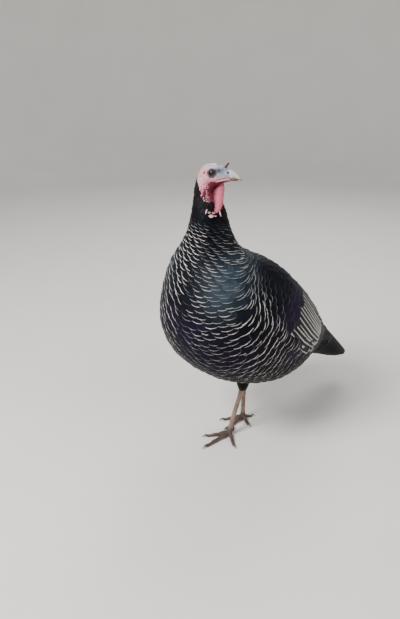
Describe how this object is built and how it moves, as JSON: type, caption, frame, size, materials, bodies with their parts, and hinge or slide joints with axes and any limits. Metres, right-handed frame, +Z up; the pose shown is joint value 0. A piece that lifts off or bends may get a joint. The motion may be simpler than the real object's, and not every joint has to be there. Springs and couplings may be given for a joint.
{
  "type": "domestic turkey",
  "caption": "Life-size standing turkey hen with dark, pale-edged plumage, folded wings and tail, bare pink and blue-grey head turned to its left, dewlap and snood, and scaly legs.",
  "frame": {"origin": "on the floor under the centre of the bounding box", "axes": "+Z up; the bird faces -Y with its tail towards +Y, and its left side is +X"},
  "size_m": [0.3468, 0.6566, 0.7291],
  "materials": {
    "plumage": "black feathers with thin pale rims and a blue and violet sheen",
    "head_skin": "bare wrinkled skin, pale pink and blue-grey",
    "throat_skin": "bare moist skin, pink to crimson",
    "leg_scales": "dry scaled skin, pinkish grey-brown",
    "horn": "worn horn, half gloss",
    "eye": "wet and dark"
  },
  "bodies": {
    "root": {"bill_lower": "horn", "bill_upper": "horn", "claw_left_hallux": "horn", "claw_left_inner": "horn", "claw_left_middle": "horn", "claw_left_outer": "horn", "claw_right_hallux": "horn", "claw_right_inner": "horn", "claw_right_middle": "horn", "claw_right_outer": "horn", "dewlap": "throat_skin", "eye_left": "eye", "eye_right": "eye", "foot_left": "leg_scales", "foot_right": "leg_scales", "head": "head_skin", "neck": "plumage", "snood": "throat_skin", "tail": "plumage", "tarsus_left": "leg_scales", "tarsus_right": "leg_scales", "thigh_left": "plumage", "thigh_right": "plumage", "trunk": "plumage", "wing_left": "plumage", "wing_right": "plumage"}
  },
  "joints": []
}
